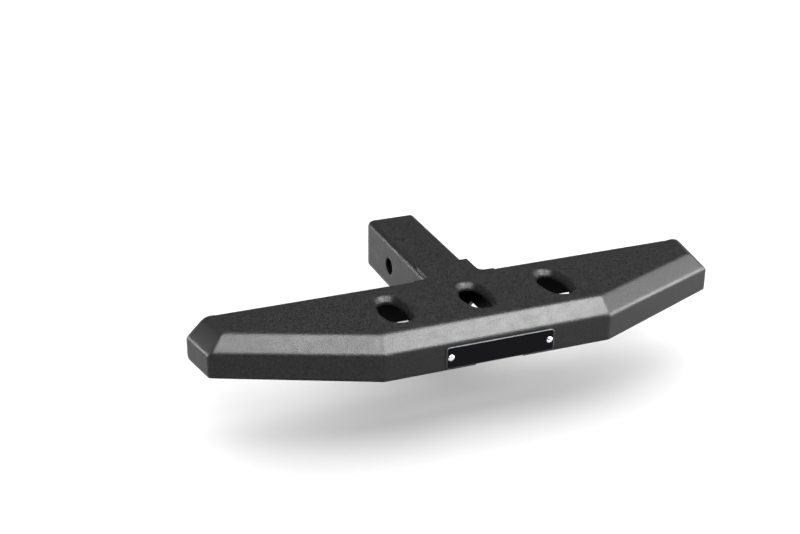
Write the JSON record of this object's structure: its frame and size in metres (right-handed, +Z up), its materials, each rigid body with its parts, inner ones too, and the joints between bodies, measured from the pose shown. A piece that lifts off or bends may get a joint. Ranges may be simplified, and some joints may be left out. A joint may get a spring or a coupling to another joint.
{
  "type": "hitch receiver step",
  "caption": "Folded steel tread with swept wings and three pressed oval slots, welded on a square shank that pins into a towing receiver and gives a rear step",
  "frame": {"origin": "centre of the hitch pin hole, on the shank's axis", "axes": "+X along the tread and along the pin hole, to the right seen from behind the vehicle; +Y along the shank into the receiver; +Z up"},
  "size_m": [0.508, 0.2599, 0.0548],
  "materials": {
    "black_powder_coat": "finely textured black powder coat on steel",
    "plate_black": "satin black plate, bare",
    "rivet_metal": "bright blind rivet"
  },
  "bodies": {
    "root": {"tread": "black_powder_coat", "shank": "black_powder_coat", "weld_beads": "black_powder_coat", "name_plate": "plate_black", "name_plate_rivets": "rivet_metal"}
  },
  "joints": []
}
